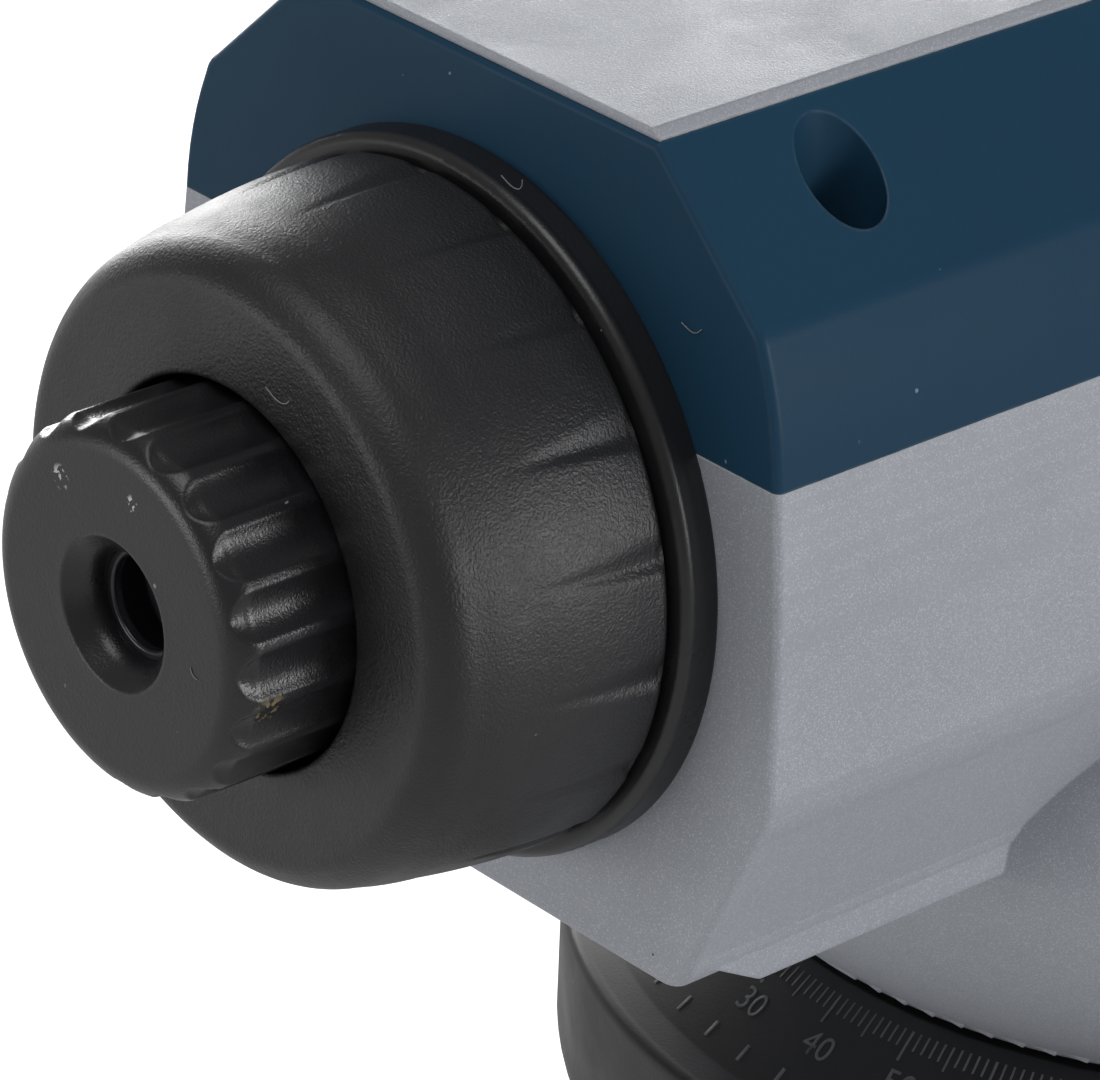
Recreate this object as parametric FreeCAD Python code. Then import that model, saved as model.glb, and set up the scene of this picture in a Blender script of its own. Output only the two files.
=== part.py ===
import FreeCAD
import Part
import math
import os
from FreeCAD import Vector

# Automatic level. Millimetres. Origin: centre of the tripod plate's underside, on the vertical axis.
# +Y looks towards the objective, +X is the focusing knob's side, +Z is up.

# telescope and housing
axisHeight = 110.0          # telescope axis above the tripod
rearFace = -82.0            # rear wall of the housing
frontFace = 66.0
wall = 2.6
partingHeight = 11.8        # joint of the two castings above the telescope axis
topHeight = 33.0            # top plate's outer face above the telescope axis
topPlateThickness = 0.7
bottomDrop = 29.4           # housing floor below the telescope axis
stripHalfWidth = 25.0       # pedestal strip under the floor
stripDrop = 30.4
wellRadius = 3.2            # screwdriver wells in the upper casting
wellSpots = [(22.1, -69.1), (-22.1, -69.1), (24.8, 54.0), (-24.8, 54.0)]

# eyepiece end
flangeRadius = 26.0
flangeThickness = 2.8
coverRearRadius = 24.7
coverFrontRadius = 21.4
coverLength = 22.3          # from the rear wall to the cover's front face
coverHole = 13.95
diopterRadius = 13.53
diopterFace = 28.9          # from the rear wall to the diopter ring's front face
diopterFlutes = 26
coverGrips = 18  # shallow finger hollows round the flange end
eyeRecessRadius = 5.56
eyeHoleRadius = 4.0

# vertical axis
turretRadius = 57.3
skirtRadius = 41.5
skirtHeight = 55.9
circleRadius = 52.6
circleConeRadius = 49.1
wheelTeeth = 64
wormPitch = 2.0
wormRadius = 4.0            # pitch radius of the worm
wormHeight = 66.0
wheelRadius = wheelTeeth * wormPitch / (2 * math.pi)
wormLine = wheelRadius + wormRadius

# focusing
focusTubeRadius = 16.0
focusLine = 6.0             # position of the focusing shaft along the telescope
focusHeight = axisHeight + 7.0
pinionTeeth = 10
pinionModule = 0.6
pinionRadius = pinionTeeth * pinionModule / 2
objectiveTubeRadius = 20.0

# foot screws
footCircle = 40.0
footAngles = {"a": -90.0, "b": 30.0, "c": 150.0}
ballRadius = 3.5
ballHeight = 6.0
studRadius = 3.0
footKnobRadius = 12.5
tripodThreadRadius = 6.8

# compensator
swingLine = -49.0
swingHeight = axisHeight + 16.0

# circular level, on the left of the turret
levelSpot = (-44.0, 12.0)
levelBase = 97.0


def cylinder(radius, length, base, axis=(0, 0, 1)):
    return Part.makeCylinder(radius, length, Vector(*base), Vector(*axis))


def ring(outer, inner, length, base, axis=(0, 0, 1)):
    return cylinder(outer, length, base, axis).cut(cylinder(inner, length, base, axis))


def block(low, high):
    size = [high[i] - low[i] for i in range(3)]
    return Part.makeBox(size[0], size[1], size[2], Vector(*low))


def outline(start, steps, place):
    """Closed wire of straight steps (a, b) and arcs ((a, b), (c, d)) through a middle point."""
    edges = []
    here = start
    for step in steps + [start]:
        if isinstance(step[0], tuple):
            middle, there = step
            edges.append(Part.Arc(place(here), place(middle), place(there)).toShape())
        else:
            there = step
            edges.append(Part.makeLine(place(here), place(there)))
        here = there
    return Part.Face(Part.Wire(edges))


def turnedUpright(start, steps):
    """Solid of revolution about the vertical axis from (radius, height) points."""
    face = outline(start, steps, lambda p: Vector(p[0], 0, p[1]))
    return face.revolve(Vector(0, 0, 0), Vector(0, 0, 1), 360)


def turnedAlong(start, steps):
    """Solid of revolution about the telescope axis from (radius, y) points."""
    face = outline(start, steps, lambda p: Vector(p[0], p[1], axisHeight))
    return face.revolve(Vector(0, 0, axisHeight), Vector(0, 1, 0), 360)


def sectionPrism(start, steps, low, high):
    """Prism along the telescope from (x, height above the axis) points."""
    face = outline(start, steps, lambda p: Vector(p[0], low, axisHeight + p[1]))
    return face.extrude(Vector(0, high - low, 0))


def sidePrism(points, halfWidth):
    """Prism across the telescope from (y, height) points."""
    face = outline(points[0], points[1:], lambda p: Vector(-halfWidth, p[0], p[1]))
    return face.extrude(Vector(2 * halfWidth, 0, 0))


def mirrored(points):
    """Right-hand steps of a symmetric section, continued down the left-hand side."""
    flat = []
    for step in points:
        flat.append(step)
    left = []
    ends = [step[1] if isinstance(step[0], tuple) else step for step in flat]
    for index in range(len(flat) - 1, -1, -1):
        target = ends[index - 1] if index > 0 else None
        if target is None:
            break
        step = flat[index]
        if isinstance(step[0], tuple):
            left.append(((-step[0][0], step[0][1]), (-target[0], target[1])))
        else:
            left.append((-target[0], target[1]))
    return left


def symmetricPrism(right, low, high):
    """Prism whose section is given by its right-hand points from bottom to top or top to bottom."""
    start = right[0]
    last = right[-1][1] if isinstance(right[-1][0], tuple) else right[-1]
    steps = right[1:] + [(-last[0], last[1])] + mirrored(right)
    return sectionPrism(start, steps, low, high)


def union(shapes):
    result = shapes[0]
    for shape in shapes[1:]:
        result = result.fuse(shape)
    return result.removeSplitter()


def cut(shape, tools):
    for tool in tools:
        shape = shape.cut(tool)
    return shape


def footPoint(key, height):
    angle = math.radians(footAngles[key])
    return (footCircle * math.cos(angle), footCircle * math.sin(angle), height)


def circlePoint(radius, degrees, height):
    angle = math.radians(degrees)
    return (radius * math.cos(angle), radius * math.sin(angle), height)


def aboutAxis(shape, count):
    """Copies of a shape evenly round the telescope axis."""
    copies = []
    for index in range(count):
        copy = shape.copy()
        copy.rotate(Vector(0, 0, axisHeight), Vector(0, 1, 0), 360.0 * index / count)
        copies.append(copy)
    return copies


# ---- tripod plate and foot screws ----

def armsTo(radius, width, low, high):
    arms = []
    for key in footAngles:
        arm = block((0, -width / 2, low), (radius, width / 2, high))
        arm.rotate(Vector(0, 0, 0), Vector(0, 0, 1), footAngles[key])
        arms.append(arm)
    return arms


def basePlate():
    pieces = [cylinder(34, 6, (0, 0, 0)), cylinder(12, 10, (0, 0, 0))]
    pieces += armsTo(footCircle, 23, 0, 6)
    for key in footAngles:
        pieces.append(cylinder(11.5, 6, footPoint(key, 0)))
    plate = union(pieces)
    for key in footAngles:
        plate = plate.fuse(ring(8.5, 7.2, 1.5, footPoint(key, 6)))
        if key == "a":
            plate = plate.cut(Part.makeSphere(ballRadius + 0.1, Vector(*footPoint(key, ballHeight))))
        else:
            x, y, z = footPoint(key, ballHeight)
            plate = plate.cut(cylinder(5.05, 10.2, (x - 5.1, y, z), (1, 0, 0)))
    holes = [cylinder(tripodThreadRadius, 10, (0, 0, 0)), ring(28, 18, 0.8, (0, 0, 0))]
    holes += [cylinder(1.5, 6, circlePoint(24, angle, 0)) for angle in (90, 210, 330)]
    return cut(plate, holes)


def springPlate():
    pieces = [cylinder(29, 0.8, (0, 0, 7.5))] + armsTo(footCircle, 11, 7.5, 8.3)
    for key in footAngles:
        pieces.append(cylinder(8.5, 0.8, footPoint(key, 7.5)))
    plate = union(pieces)
    holes = [cylinder(14, 0.8, (0, 0, 7.5))]
    holes += [cylinder(3.25, 0.8, footPoint(key, 7.5)) for key in footAngles]
    holes += [cylinder(1.6, 0.8, circlePoint(24, angle, 7.5)) for angle in (90, 210, 330)]
    return cut(plate, holes)


def springScrews():
    screws = []
    for angle in (90, 210, 330):
        screw = cylinder(1.45, 7.3, circlePoint(24, angle, 1.0))
        screw = screw.fuse(ring(3.0, 1.45, 1.5, circlePoint(24, angle, 6.0)))
        screw = screw.fuse(cylinder(2.8, 1.6, circlePoint(24, angle, 8.3)))
        x, y, z = circlePoint(24, angle, 9.2)
        screw = screw.cut(block((x - 3, y - 0.4, z), (x + 3, y + 0.4, z + 1)))
        screws.append(screw.removeSplitter())
    return Part.makeCompound(screws)


def cradleShoes():
    shoes = []
    for key in ("b", "c"):
        x, y, z = footPoint(key, ballHeight)
        shoe = cylinder(5.0, 10, (x - 5, y, z), (1, 0, 0))
        shoe = shoe.cut(block((x - 6, y - 6, z - 0.2), (x + 6, y + 6, z + 6)))
        shoes.append(shoe.cut(Part.makeSphere(ballRadius + 0.05, Vector(x, y, z))))
    return Part.makeCompound(shoes)


def footStud(key):
    x, y, z = footPoint(key, ballHeight)
    ball = Part.makeSphere(ballRadius, Vector(x, y, z))
    stud = union([ball, cylinder(2.0, 4, (x, y, z + 2)), cylinder(studRadius, 17, (x, y, 11.2))])
    return stud.cut(block((x - 4, y - 0.4, 27.4), (x + 4, y + 0.4, 29)))


def footKnob(key):
    x, y, z = footPoint(key, 11)
    wheel = cylinder(footKnobRadius, 9.5, (x, y, z))
    rim = [edge for edge in wheel.Edges if edge.Closed]
    wheel = wheel.makeChamfer(0.8, rim)
    for index in range(20):
        angle = math.radians(18 * index)
        reach = footKnobRadius + 0.9
        spot = (x + reach * math.cos(angle), y + reach * math.sin(angle), z - 1)
        wheel = wheel.cut(cylinder(1.6, 12, spot))
    knob = wheel.fuse(cylinder(5.5, 9.9, (x, y, 20.5)))
    knob = knob.cut(ring(6, 4.9, 0.8, (x, y, 28.6)))
    return knob.cut(cylinder(studRadius + 0.05, 22, (x, y, 10)))


def knobKeepers():
    keepers = []
    for key in footAngles:
        x, y, z = footPoint(key, 28.65)
        keeper = ring(7.5, 5.0, 0.7, (x, y, z))
        slot = block((0, -4.95, z), (10, 4.95, z + 1))
        slot.rotate(Vector(0, 0, 0), Vector(0, 0, 1), footAngles[key])
        slot.translate(Vector(x, y, 0))
        keepers.append(keeper.cut(slot))
    return Part.makeCompound(keepers)


def tribrach():
    pieces = [cylinder(30, 25.5, (0, 0, 21)), cylinder(22, 31, (0, 0, 21))]
    pieces += armsTo(footCircle, 16, 21, 28.6)
    for key in footAngles:
        pieces.append(cylinder(8.5, 7.6, footPoint(key, 21)))
    body = union(pieces)
    holes = [cylinder(12, 8, (0, 0, 21)), cylinder(9, 31, (0, 0, 21)), ring(27, 15, 20, (0, 0, 21))]
    holes += [cylinder(5.55, 8, footPoint(key, 20.8)) for key in footAngles]
    holes += [cylinder(1.5, 8, circlePoint(14, angle, 44)) for angle in (0, 120, 240)]
    ribs = [cylinder(9.8, 7.6, footPoint(key, 21)).cut(cylinder(5.55, 8, footPoint(key, 20.8)))
            for key in footAngles]
    body = cut(body, holes)
    inner = cylinder(30, 7.6, (0, 0, 21)).cut(cylinder(27, 7.6, (0, 0, 21)))
    arms = [arm.cut(cylinder(15, 9, (0, 0, 20.5))) for arm in armsTo(30, 5, 21, 28.6)]
    return union([body, inner] + arms + [rib.common(cylinder(47.5, 9, (0, 0, 20.5))) for rib in ribs])


# ---- vertical axis ----

def spindle():
    pieces = [cylinder(9, 22, (0, 0, 30)), cylinder(16.5, 3, (0, 0, 52)), cylinder(11.5, 15, (0, 0, 55)),
              cylinder(13.5, 3.3, (0, 0, 60)), cylinder(8, 18, (0, 0, 70))]
    holes = [cylinder(2, 8.5, (0, 0, 80))]
    holes += [cylinder(1.6, 4, circlePoint(14, angle, 51.5)) for angle in (0, 120, 240)]
    return cut(union(pieces), holes)


def spindleScrews():
    screws = []
    for angle in (0, 120, 240):
        x, y, z = circlePoint(14, angle, 46)
        screw = cylinder(1.45, 9, (x, y, z)).fuse(cylinder(2.3, 1.5, (x, y, 55)))
        screws.append(screw.cut(cylinder(1.1, 1, (x, y, 55.7))).removeSplitter())
    return Part.makeCompound(screws)


def axisKeeper():
    return ring(10, 2.1, 1.2, (0, 0, 88.2))


def axisScrew():
    screw = cylinder(1.95, 7.4, (0, 0, 82)).fuse(cylinder(4, 1.6, (0, 0, 89.4)))
    return screw.cut(block((-5, -0.5, 90.3), (5, 0.5, 91.5))).removeSplitter()


def bearingSleeve():
    return ring(12, 8.05, 16.9, (0, 0, 71))


def circleSpring():
    return ring(29, 23, 0.7, (0, 0, 46.65))


def horizontalCircle():
    slope = [(22.1, 47.6), (46.0, 47.6), (50.0, 44.4), (50.0, 37.2), ((49.6, 34.4), (47.6, 31.6)),
             (48.7, 30.8), ((51.7, 33.4), (circleRadius, 37.2)), (circleRadius, 46.9),
             ((52.3, 47.6), (51.6, 47.9)), (49.6, 48.5), (circleConeRadius, 48.9), (41.0, 55.2), (36.5, 55.2),
             (35.0, 50.6)]
    return turnedUpright((22.1, 50.6), slope)


def wormWheel():
    blank = ring(wheelRadius + 0.5, 11.56, 3, (0, 0, wormHeight - 1.5))
    blank = blank.cut(ring(17.5, 14.2, 0.8, (0, 0, wormHeight - 1.5)))
    gaps = []
    for index in range(wheelTeeth):
        gap = sidePrism([(wheelRadius - 0.75, wormHeight - 2), (wheelRadius + 1, wormHeight - 2),
                         (wheelRadius + 1, wormHeight + 2), (wheelRadius - 0.75, wormHeight + 2)], 0.6)
        gap.rotate(Vector(0, 0, 0), Vector(0, 0, 1), 360.0 * index / wheelTeeth)
        gaps.append(gap)
    return blank.cut(Part.makeCompound(gaps))


def clutchSpring():
    return ring(13.4, 11.55, 0.9, (0, 0, 63.4))


def wormShaft():
    shaft = cylinder(3.0, 126, (-63, wormLine, wormHeight), (1, 0, 0))
    core = cylinder(3.1, 20, (-10, wormLine, wormHeight), (1, 0, 0))
    height = 18.0
    helix = Part.makeHelix(wormPitch, height, 3.0)
    half = 0.62
    tip = 0.3
    profile = Part.makePolygon([Vector(2.9, 0, -half), Vector(4.6, 0, -tip), Vector(4.6, 0, tip),
                                Vector(2.9, 0, half), Vector(2.9, 0, -half)])
    thread = Part.Wire(helix.Edges).makePipeShell([profile], True, True)
    thread.rotate(Vector(0, 0, 0), Vector(0, 1, 0), 90)
    thread.rotate(Vector(0, 0, 0), Vector(1, 0, 0), 90)
    thread.translate(Vector(-height / 2, wormLine, wormHeight))
    return union([shaft, core, thread])


def wormBush(side):
    bush = ring(5.0, 3.03, 12.5, (side * 40.0, wormLine, wormHeight), (side, 0, 0))
    return bush.fuse(ring(6.6, 3.03, 1.2, (side * 52.5, wormLine, wormHeight), (side, 0, 0))).removeSplitter()


def wormBushes():
    return Part.makeCompound([wormBush(1), wormBush(-1)])


def driveKnob(side):
    base = (side * 54.2, wormLine, wormHeight)
    knob = cylinder(8.8, 13.5, base, (side, 0, 0))
    rim = [edge for edge in knob.Edges if edge.Closed]
    knob = knob.makeChamfer(0.9, rim)
    for index in range(16):
        angle = math.radians(22.5 * index)
        spot = (side * 56.0, wormLine + 9.5 * math.cos(angle), wormHeight + 9.5 * math.sin(angle))
        knob = knob.cut(cylinder(1.3, 14, spot, (side, 0, 0)))
    knob = knob.cut(cylinder(5.4, 0.8, (side * 67.1, wormLine, wormHeight), (side, 0, 0)))
    return knob.cut(cylinder(3.0, 9, base, (side, 0, 0)))


# ---- castings ----

upperSection = [(31.05, partingHeight), ((30.35, 17.0), (28.95, 21.4)), ((28.6, 22.2), (27.9, 22.9)),
                (18.05, topHeight - topPlateThickness)]
upperInside = [(28.4, partingHeight - 0.01), (26.3, 20.6), (16.8, 29.6)]
lowerSection = [(31.05, partingHeight), ((31.75, 3.5), (31.9, -5.0)), (31.9, -10.9),
                ((31.5, -13.0), (30.5, -15.0)), (25.4, -26.3), ((24.3, -28.5), (22.0, -bottomDrop))]
lowerInside = [(28.4, partingHeight + 0.01), (29.2, -10.5), (23.0, -24.6), (20.6, -26.8)]


def upperSolid():
    return symmetricPrism(upperSection, rearFace, frontFace)


def lowerSolid():
    return symmetricPrism(lowerSection, rearFace, frontFace)


def upperHousing():
    solid = upperSolid()
    edge = [e for e in solid.Edges if abs(e.BoundBox.YMin - rearFace) < 1e-6
            and abs(e.BoundBox.YMax - rearFace) < 1e-6 and e.BoundBox.ZMax > axisHeight + partingHeight + 0.1]
    solid = solid.makeFillet(0.6, edge)
    body = solid.cut(symmetricPrism(upperInside, rearFace + 3, frontFace - 3))
    columns = []
    wells = []
    for x, y in wellSpots:
        low = axisHeight + partingHeight
        column = cylinder(4.6, 24, (x, y, low)).common(solid)
        columns.append(column)
        wells.append(cylinder(wellRadius, 20, (x, y, axisHeight + 19)))
        wells.append(cylinder(1.6, 8, (x, y, low - 0.5)))
    body = union([body] + columns)
    return cut(body, wells + [cylinder(objectiveTubeRadius + 0.05, 8, (0, frontFace - 5, axisHeight), (0, 1, 0))])


def turretOuter():
    return turnedUpright((0, skirtHeight), [(skirtRadius - 0.5, skirtHeight),
                                            ((skirtRadius - 0.1, skirtHeight + 0.15), (skirtRadius, skirtHeight + 0.6)),
                                            ((51.2, 66.2), (turretRadius, 79.5)), ((56.2, 84.4), (52.9, 88.4)),
                                            ((46.0, 92.9), (36.0, 95.3)), (0, 96.0)])


def turretInner():
    return turnedUpright((0, skirtHeight - 1), [(39.0, skirtHeight - 1), (39.0, skirtHeight + 0.6),
                                                ((48.8, 66.8), (54.8, 79.7)), ((53.6, 83.4), (51.0, 86.5)),
                                                ((44.8, 90.4), (35.5, 92.6)), (0, 92.6)])


def pedestal():
    low = axisHeight - stripDrop
    high = axisHeight - 26.8
    points = [(rearFace + 0.7, high), (rearFace + 7.0, low + 0.2), (rearFace + 8.2, low), (30, low), (30, high)]
    slab = sidePrism(points, stripHalfWidth)
    edges = [e for e in slab.Edges if abs(e.BoundBox.XMax - e.BoundBox.XMin) < 1e-6
             and abs(abs(e.BoundBox.XMax) - stripHalfWidth) < 1e-6
             and e.BoundBox.ZMax < low + 1.0 and e.BoundBox.YMax > rearFace + 10]
    return slab.makeFillet(0.7, edges)


def levelBracket():
    x, y = levelSpot
    plate = cylinder(11.5, 7, (x, y, levelBase - 7))
    return union([plate, block((x, y - 11.5, levelBase - 7), (-31, y + 11.5, levelBase)),
                  block((x - 7, y + 6, levelBase - 7), (x + 7, y + 15, levelBase))])


def lowerHousing():
    solid = lowerSolid()
    edge = [e for e in solid.Edges if abs(e.BoundBox.YMin - rearFace) < 1e-6
            and abs(e.BoundBox.YMax - rearFace) < 1e-6 and e.BoundBox.ZMin < axisHeight + partingHeight - 0.1]
    solid = solid.makeFillet(0.6, edge)
    turret = turretOuter().fuse(levelBracket()).cut(turretInner())
    bosses = []
    for side in (1, -1):
        bosses.append(cylinder(8.0, 16, (side * 36.5, wormLine, wormHeight), (side, 0, 0)))
    body = union([turret, solid, pedestal()] + bosses)
    body = body.cut(symmetricPrism(lowerInside, rearFace + 3, frontFace - 3))
    columns = []
    holes = []
    for x, y in wellSpots:
        side = math.copysign(1, x)
        column = cylinder(4.6, 34, (x, y, axisHeight - 22.0)).fuse(
            block((min(x, side * 29.5), y - 1.5, axisHeight - 15), (max(x, side * 29.5), y + 1.5, axisHeight + 6)))
        columns.append(column.common(solid).common(block((-40, -90, 80), (40, 80, axisHeight + partingHeight))))
        holes.append(cylinder(1.52, 20, (x, y, axisHeight - 7)))
    body = union([body, cylinder(16, 20.5, (0, 0, 71))] + columns)
    holes += [cylinder(12, 25, (0, 0, 70)),
              cylinder(11.0, 6, (0, rearFace - 1, axisHeight), (0, 1, 0)),
              cylinder(objectiveTubeRadius + 0.05, 8, (0, frontFace - 5, axisHeight), (0, 1, 0)),
              cylinder(4.5, 8, (26, focusLine, focusHeight), (1, 0, 0)),
              cylinder(2.55, 8, (-33, swingLine, axisHeight - 2), (1, 0, 0))]
    for side in (1, -1):
        holes.append(cylinder(5.0, 17, (side * 36, wormLine, wormHeight), (side, 0, 0)))
    x, y = levelSpot
    for angle in (90, 210, 330):
        a, b, c = circlePoint(6.5, angle, 88)
        holes.append(cylinder(1.25, 12, (x + a, y + b, c)))
    body = cut(body, holes)
    return body.removeSplitter()


def topPlate():
    top = topHeight - topPlateThickness
    points = [(17.95, top), (17.3, topHeight - 0.1), (17.1, topHeight)]
    plate = symmetricPrism(points, rearFace + 0.3, frontFace - 0.3)
    return plate


def coverScrews():
    screws = []
    for x, y in wellSpots:
        screw = cylinder(1.48, 23, (x, y, axisHeight - 4)).fuse(cylinder(2.75, 2.2, (x, y, axisHeight + 19)))
        for turn in (0, 90):
            slot = block((x - 1.7, y - 0.35, axisHeight + 20.1), (x + 1.7, y + 0.35, axisHeight + 22))
            slot.rotate(Vector(x, y, 0), Vector(0, 0, 1), turn + 20)
            screw = screw.cut(slot)
        screws.append(screw.removeSplitter())
    return Part.makeCompound(screws)


def sights():
    rear = block((-3.5, -14, axisHeight + topHeight), (3.5, -9, axisHeight + topHeight + 5))
    rear = rear.cut(cylinder(1.1, 6, (0, -14.5, axisHeight + topHeight + 4.4), (0, 1, 0)))
    post = sidePrism([(46, axisHeight + topHeight), (52, axisHeight + topHeight),
                      (51.5, axisHeight + topHeight + 5), (50.5, axisHeight + topHeight + 5)], 0.8)
    return Part.makeCompound([rear, post])


# ---- telescope ----

def lens(radius, front, rear, bulgeFront, bulgeRear):
    """Round glass between two y positions. Each face bulges outwards, or inwards when negative."""
    thickness = rear - front
    low = -max(bulgeFront, 0)
    high = thickness + max(bulgeRear, 0)
    glass = cylinder(radius, high - low, (0, low, 0), (0, 1, 0))
    for edge, bulge, way in ((0, bulgeFront, -1), (thickness, bulgeRear, 1)):
        sphereRadius = (radius ** 2 + bulge ** 2) / (2 * abs(bulge))
        tip = edge + way * bulge
        inward = -way if bulge > 0 else way
        ball = Part.makeSphere(sphereRadius, Vector(0, tip + inward * sphereRadius, 0))
        glass = glass.common(ball) if bulge > 0 else glass.cut(ball)
    glass.translate(Vector(0, front, axisHeight))
    return glass


def noseRing():
    return turnedAlong((20.05, frontFace), [(29.3, frontFace), ((29.0, 70), (26.0, 76)), (25.4, 76.4),
                                            (20.05, 76.4)])


def objectiveTube():
    return turnedAlong((15.0, 44), [(20, 44), (20, 100), (18.3, 100), (18.3, 47), (15.0, 47)])


def objectiveHood():
    return turnedAlong((20.05, 79), [(24.2, 79), (24.6, 79.6), (24.6, 104.5), ((24.4, 105.1), (23.8, 105.3)),
                                     (22.6, 105.3), (21.5, 100.3), (20.05, 100.3)])


def objectiveLens():
    return lens(18.2, 88, 92, 1.2, 1.6)


def objectiveLock():
    return ring(18.25, 16.6, 3.0, (0, 94.2, axisHeight), (0, 1, 0))


def objectiveSeat():
    return ring(18.25, 16.6, 2.0, (0, 84.2, axisHeight), (0, 1, 0))


def focusTube():
    tube = ring(focusTubeRadius, 15.0, 78, (0, -34, axisHeight), (0, 1, 0))
    return tube.cut(block((10, -26, axisHeight - 2.2), (18, 27, axisHeight + 1.6)))


def tubeBracket():
    plate = block((-22, -34, axisHeight - 18), (22, -31, axisHeight + 18))
    feet = block((-26, -34, axisHeight - 26.0), (26, -31, axisHeight - 16)).common(
        symmetricPrism([(22.9, -24.4), (20.5, -26.7)][::-1] + [(28.9, -11)], -34, -31))
    slot = block((16.6, -34.5, axisHeight - 2.8), (23, -30.5, axisHeight + 5.8))  # the rack passes through here
    return cut(union([plate, feet]), [cylinder(focusTubeRadius, 4, (0, -34.5, axisHeight), (0, 1, 0)), slot])


def focusCell():
    cell = ring(14.93, 12.1, 22, (0, -11, axisHeight), (0, 1, 0))
    cell = cell.fuse(ring(12.3, 10.6, 1.5, (0, -3, axisHeight), (0, 1, 0)))
    arm = block((13.2, -5, axisHeight - 1.6), (18.6, 5, axisHeight + 1.0))
    bar = block((17.8, -20, axisHeight - 1.6), (22.2, 26, axisHeight + 4.6))
    lowered = block((17.8, -20, axisHeight - 1.6), (22.2, 26, axisHeight + 3.2))
    pitch = math.pi * pinionModule
    teeth = []
    count = int(46 / pitch)
    for index in range(-count, count):
        middle = focusLine + (index + 0.5) * pitch
        if -19.6 < middle < 25.6:
            low = axisHeight + 3.1
            face = [(middle - 0.66, low), (middle + 0.66, low), (middle + 0.2, low + 1.45), (middle - 0.2, low + 1.45)]
            tooth = sidePrism(face, 2.2)
            tooth.translate(Vector(20, 0, 0))
            teeth.append(tooth)
    return union([cell, arm, lowered] + teeth).common(union([cell, arm, bar]))


def focusLens():
    return lens(12.05, 0.0, 3.0, -0.5, 0.9)


def focusLock():
    return ring(12.05, 10.6, 2.0, (0, 4.3, axisHeight), (0, 1, 0))


def focusShaft():
    shaft = cylinder(2.5, 33.5, (17.4, focusLine, focusHeight), (1, 0, 0))
    root = pinionRadius - 0.85
    shaft = shaft.cut(ring(4, root, 5.4, (17.4, focusLine, focusHeight), (1, 0, 0)))
    teeth = []
    for index in range(pinionTeeth):
        points = [(focusLine - 0.62, focusHeight - root + 0.4), (focusLine - 0.4, focusHeight - pinionRadius),
                  (focusLine - 0.16, focusHeight - pinionRadius - 0.5),
                  (focusLine + 0.16, focusHeight - pinionRadius - 0.5),
                  (focusLine + 0.4, focusHeight - pinionRadius), (focusLine + 0.62, focusHeight - root + 0.4)]
        tooth = sidePrism(points, 1.9)
        tooth.translate(Vector(20, 0, 0))
        tooth.rotate(Vector(0, focusLine, focusHeight), Vector(1, 0, 0), 360.0 * index / pinionTeeth)
        teeth.append(tooth)
    return union([shaft] + teeth)


def focusBush():
    bush = ring(4.5, 2.55, 5.0, (27.2, focusLine, focusHeight), (1, 0, 0))
    return bush.fuse(ring(6.8, 2.55, 1.4, (32.2, focusLine, focusHeight), (1, 0, 0))).removeSplitter()


def focusKnob():
    knob = cylinder(15.5, 18, (34.4, focusLine, focusHeight), (1, 0, 0))
    rim = [edge for edge in knob.Edges if edge.Closed and edge.CenterOfMass.x > 50]
    knob = knob.makeFillet(1.2, rim)
    knob = knob.fuse(cylinder(16.6, 2.0, (34.4, focusLine, focusHeight), (1, 0, 0)))
    hollow = ring(13.4, 6.0, 9, (34.4, focusLine, focusHeight), (1, 0, 0))
    dish = cylinder(4.2, 1.4, (51.2, focusLine, focusHeight), (1, 0, 0))
    return cut(knob, [hollow, dish, cylinder(2.5, 20, (34, focusLine, focusHeight), (1, 0, 0))]).removeSplitter()


def focusGrip():
    grip = ring(17.4, 15.5, 13.4, (36.5, focusLine, focusHeight), (1, 0, 0))
    ribs = []
    for index in range(36):
        angle = math.radians(10 * index)
        spot = (36.5, focusLine + 17.5 * math.cos(angle), focusHeight + 17.5 * math.sin(angle))
        ribs.append(cylinder(0.6, 13.4, spot, (1, 0, 0)))
    return grip.cut(Part.makeCompound(ribs))


def focusScrew():
    screw = cylinder(3.6, 1.1, (51.25, focusLine, focusHeight), (1, 0, 0))
    return screw.cut(block((51.8, focusLine - 3, focusHeight - 0.4), (53, focusLine + 3, focusHeight + 0.4)))


# ---- compensator ----

def compensatorFrame():
    low = axisHeight - 26.7
    floor = block((-19, swingLine - 14, low), (19, swingLine + 14, low + 2.4))
    posts = []
    for side in (1, -1):
        for y in (-12.5, 12.5):
            posts.append(block((side * 17.5 - 1.5, swingLine + y - 1.5, low), (side * 17.5 + 1.5, swingLine + y + 1.5,
                                                                              axisHeight + 20)))
        posts.append(block((side * 17.5 - 1.5, swingLine - 14, axisHeight + 17),
                           (side * 17.5 + 1.5, swingLine + 14, axisHeight + 20)))
    for y in (-12.5, 12.5):
        posts.append(block((-19, swingLine + y - 1.5, axisHeight + 17), (19, swingLine + y + 1.5, axisHeight + 20)))
        posts.append(block((-19, swingLine + y - 1.5, axisHeight - 12.5), (19, swingLine + y + 1.5, axisHeight - 9.5)))
    leafBase = block((-21.2, swingLine - 13, axisHeight - 4), (-19, swingLine - 11, axisHeight + 0))
    holes = [cylinder(1.5, 4, (x, swingLine + y, low - 0.5)) for x in (-12, 12) for y in (-9, 9)]
    return cut(union([floor, leafBase] + posts), holes)


def compensatorScrews():
    screws = []
    for x in (-12, 12):
        for y in (-9, 9):
            screws.append(cylinder(2.5, 1.3, (x, swingLine + y, axisHeight - 24.3)).fuse(
                cylinder(1.45, 2.3, (x, swingLine + y, axisHeight - 26.6))).removeSplitter())
    return Part.makeCompound(screws)


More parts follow.
